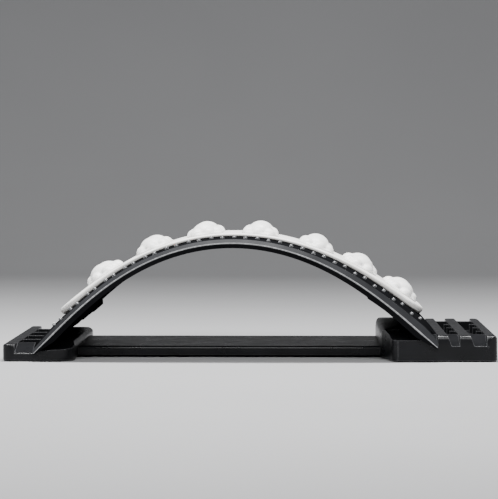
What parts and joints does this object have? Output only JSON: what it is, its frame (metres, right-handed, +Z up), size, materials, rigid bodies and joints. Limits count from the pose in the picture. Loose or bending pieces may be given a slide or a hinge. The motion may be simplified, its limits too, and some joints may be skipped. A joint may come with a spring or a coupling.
{
  "type": "arched back stretcher",
  "caption": "Bent board with a soft strip of massage nodules, held as an arch by its ends in the slots of a low base with a fixed and an adjusting end.",
  "frame": {"origin": "on the floor, under the middle of the base", "axes": "+X along the arch towards the adjusting end, +Y across it away from the picture's viewer, +Z up"},
  "size_m": [0.398, 0.246, 0.1111],
  "materials": {
    "base_plastic": "fine-textured moulded black",
    "board_plastic": "satin moulded black",
    "strip_elastomer": "soft matt white",
    "nodule_elastomer": "soft smooth white",
    "pad_rubber": "matt dark grey",
    "screw_steel": "zinc plated"
  },
  "bodies": {
    "base": {"fixed_end_block": "base_plastic", "adjusting_end_block": "base_plastic", "centre_bar": "base_plastic", "bar_screw_1": "screw_steel", "bar_screw_2": "screw_steel", "bar_screw_3": "screw_steel", "bar_screw_4": "screw_steel", "foot_pad_1": "pad_rubber", "foot_pad_2": "pad_rubber", "foot_pad_3": "pad_rubber", "foot_pad_4": "pad_rubber"},
    "arch": {"arch_board": "board_plastic", "massage_strip": "strip_elastomer", "massage_nodule_1": "nodule_elastomer", "massage_nodule_2": "nodule_elastomer", "massage_nodule_3": "nodule_elastomer", "massage_nodule_4": "nodule_elastomer", "massage_nodule_5": "nodule_elastomer", "massage_nodule_6": "nodule_elastomer", "massage_nodule_7": "nodule_elastomer", "massage_nodule_8": "nodule_elastomer", "massage_nodule_9": "nodule_elastomer", "massage_nodule_10": "nodule_elastomer", "massage_nodule_11": "nodule_elastomer", "massage_nodule_12": "nodule_elastomer", "massage_nodule_13": "nodule_elastomer", "massage_nodule_14": "nodule_elastomer"}
  },
  "joints": [
    {"name": "arch_lift", "type": "slide", "parent": "base", "child": "arch", "axis": [0, 0, 1], "range_m": [0, 0.04]}
  ]
}
